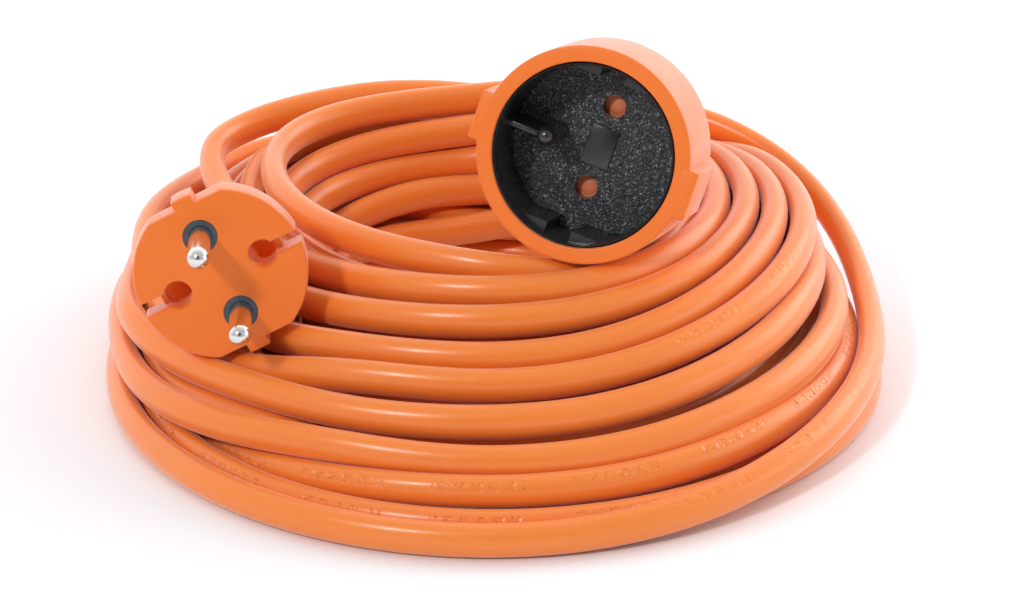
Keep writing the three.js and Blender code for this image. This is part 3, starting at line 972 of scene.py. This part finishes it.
def add_coupler(orange, black, rough_black, shutter_orange):
    matrix = matrix_of(COUPLER)
    outer = rounded(
        [
            (15, -36.8),
            (3.9, -46),
            (3.9, -49.8),
            (8.4, -50),
            (9.6, -48),
            (15.5, -43),
            (20.4, -33),
            (22.2, -24.5),
            (22.3, -23.1),
            (23.7, -22.9),
            (23.8, -22),
            (23.8, -0.4),
            (23.45, 0),
            (20.5, 0),
            (20.3, -0.3),
            (20.3, -1.6),
            (21.3, -2.0),
            (21.3, -20.8),
            (15, -20.8),
        ],
        0.5,
        3,
    )
    shell = turned("coupler_housing", outer, 160)
    ears = [
        slab("ear", (-5.5, 5.5), sorted((side * 21.5, side * 25.4)), (-17, 0.02), 0.45)
        for side in (1, -1)
    ]
    shell = painted(combine(shell, ears, "UNION"), orange)
    pieces = [place(shell, matrix, ["coupler_shell"], "orange_pvc")]

    floor, radius, lip = -RECESS_DEPTH, RECESS_RADIUS, RECESS_RADIUS + 0.25
    recess_profile = [(0, floor), (radius, floor), (radius, -0.9), (lip, -0.35), (lip, 1), (0, 1)]
    recess = turned("recess", recess_profile, 128)
    ribs = []
    for side in (1, -1):
        for half in (1, -1):
            x_range = sorted((side * 17.1, side * 22))
            y_range = sorted((half * 2.85, half * 12))
            ribs.append(slab("rib", x_range, y_range, (-18, -3)))
    recess = combine(recess, ribs, "DIFFERENCE")
    cup_edge = [(20.9, -20.5), (20.9, -2.1), (20.0, -1.7), (20.0, -0.5), (19.8, -0.3)]
    cup = turned("coupler_insert_detail", [(0, -20.5), *cup_edge, (0, -0.3)], 128)
    cup = combine(cup, [recess], "DIFFERENCE")
    holes = [drum("hole", 2.6, -21, -16, x=x, sides=48) for x in pin_sides().values()]
    cup = combine(cup, holes, "DIFFERENCE")
    cup.data.materials.append(black)
    cup.data.materials.append(rough_black)
    for face in cup.data.polygons:
        on_floor = abs(face.center.z + RECESS_DEPTH * MM) < 0.05 * MM and abs(face.normal.z) > 0.9
        face.material_index = 1 if on_floor else 0

    post_profile = [(0, -17.6), (2.3, -17.6), (2.25, -6), (2.0, -4.6), (1.2, -3.7), (0, -3.4)]
    post = turned("post", rounded(post_profile, 0.6), 48, y=-10)
    web = slab("web", (-0.6, 0.6), (-19.8, -11), (-17.6, -4.9), 0.2)
    table = slab("table", (-4.5, 4.5), (-3.25, 3.25), (-17.6, -17.0), 0.2)
    insert = joined(cup, [painted(part, black) for part in (post, web, table)])
    pieces.append(place(insert, matrix, ["coupler_insert"], "black_plastic"))

    low, high = SHUTTER_BACK, SHUTTER_FRONT
    plate = drum("shutter_detail", 5, low, high, sides=64)
    parts = [drum("pad", 3.4, low, high, x=x, sides=56) for x in pin_sides().values()]
    parts.append(slab("arm", (-9.5, 9.5), (-2.6, 2.6), (low, high)))
    parts.append(slab("finger", (1.5, 3.2), (0, 8.4), (low, high)))
    plate = combine(plate, parts, "UNION")
    plate = combine(plate, [drum("pivot_hole", 1.8, low - 1, high + 1, sides=32)], "DIFFERENCE")
    base, rim, crown = high - 0.2, high + 0.18, high + 0.3
    dot_profile = [(0, base), (1.9, base), (1.9, rim), (1.6, crown), (0, crown)]
    dots = [turned("dot", dot_profile, 48, x=x) for x in pin_sides().values()]
    plate = joined(painted(plate, shutter_orange), [painted(d, shutter_orange) for d in dots])
    shutter = place(plate, matrix, ["shutter"], "orange_nylon", "shutter")

    boot = painted(relief("coupler_boot", COUPLER), orange)
    pieces.append(place(boot, matrix, ["coupler_bend_relief"], "orange_pvc"))
    return pieces, shutter


# --- the whole ----------------------------------------------------------------------------------


def add_floor():
    floor = slab("floor", (-4000, 4000), (-4000, 4000), (-20, 0))
    painted(floor, floor_material())


def paint_inner_nodes(materials):
    for name, node in nodes.items():
        for ending, material in materials.items():
            if ending in name:
                painted(node, material)


add_studio()
sheath = cable_material()
cable, path = add_cable(sheath)

housing = plastic(
    "housing_vinyl",
    (0.83, 0.170, 0.009),
    (0.87, 0.185, 0.013),
    (0.36, 0.48),
    1400,
    specular=0.45,
    sheen=0.6,
)
slate = plastic("slate_plastic", (0.045, 0.058, 0.078), (0.062, 0.076, 0.10), (0.35, 0.5), 1500)
black = plastic(
    "black_plastic", (0.012, 0.012, 0.015), (0.019, 0.019, 0.023), (0.15, 0.28), 900, specular=0.65
)
nylon = plastic("orange_nylon", (0.82, 0.20, 0.07), (0.88, 0.24, 0.09), (0.3, 0.42), 1300)
nickel = metal("nickel", (0.72, 0.71, 0.68), (0.8, 0.79, 0.77), (0.12, 0.24))
brass = metal("brass", (0.62, 0.42, 0.16), (0.7, 0.5, 0.22), (0.2, 0.36))
steel = metal("steel", (0.5, 0.51, 0.53), (0.6, 0.61, 0.63), (0.18, 0.32))
brown = plastic("core_brown", (0.11, 0.035, 0.012), (0.14, 0.05, 0.018), (0.3, 0.45), 1500, 0.00002)
blue = plastic("core_blue", (0.015, 0.08, 0.34), (0.022, 0.11, 0.42), (0.3, 0.45), 1500, 0.00002)

plug_pieces = add_plug(housing, slate, nickel)
coupler_pieces, shutter_piece = add_coupler(housing, black, sparkle_material(), nylon)
add_spring(steel)
paint_inner_nodes(
    {
        "_crimp_": brass,
        "contact_line": brass,
        "contact_neutral": brass,
        "contact_carrier": black,
        "shutter_pivot": steel,
        "_core_brown": brown,
        "_core_blue": blue,
        "sheath_end": sheath,
    }
)
tuple(Vector(COUPLER["face"]) * MM + Vector(axes_of(COUPLER)[:, 2]) * COUPLER["relief_end"] * MM)
add_floor()

bpy.context.view_layer.update()
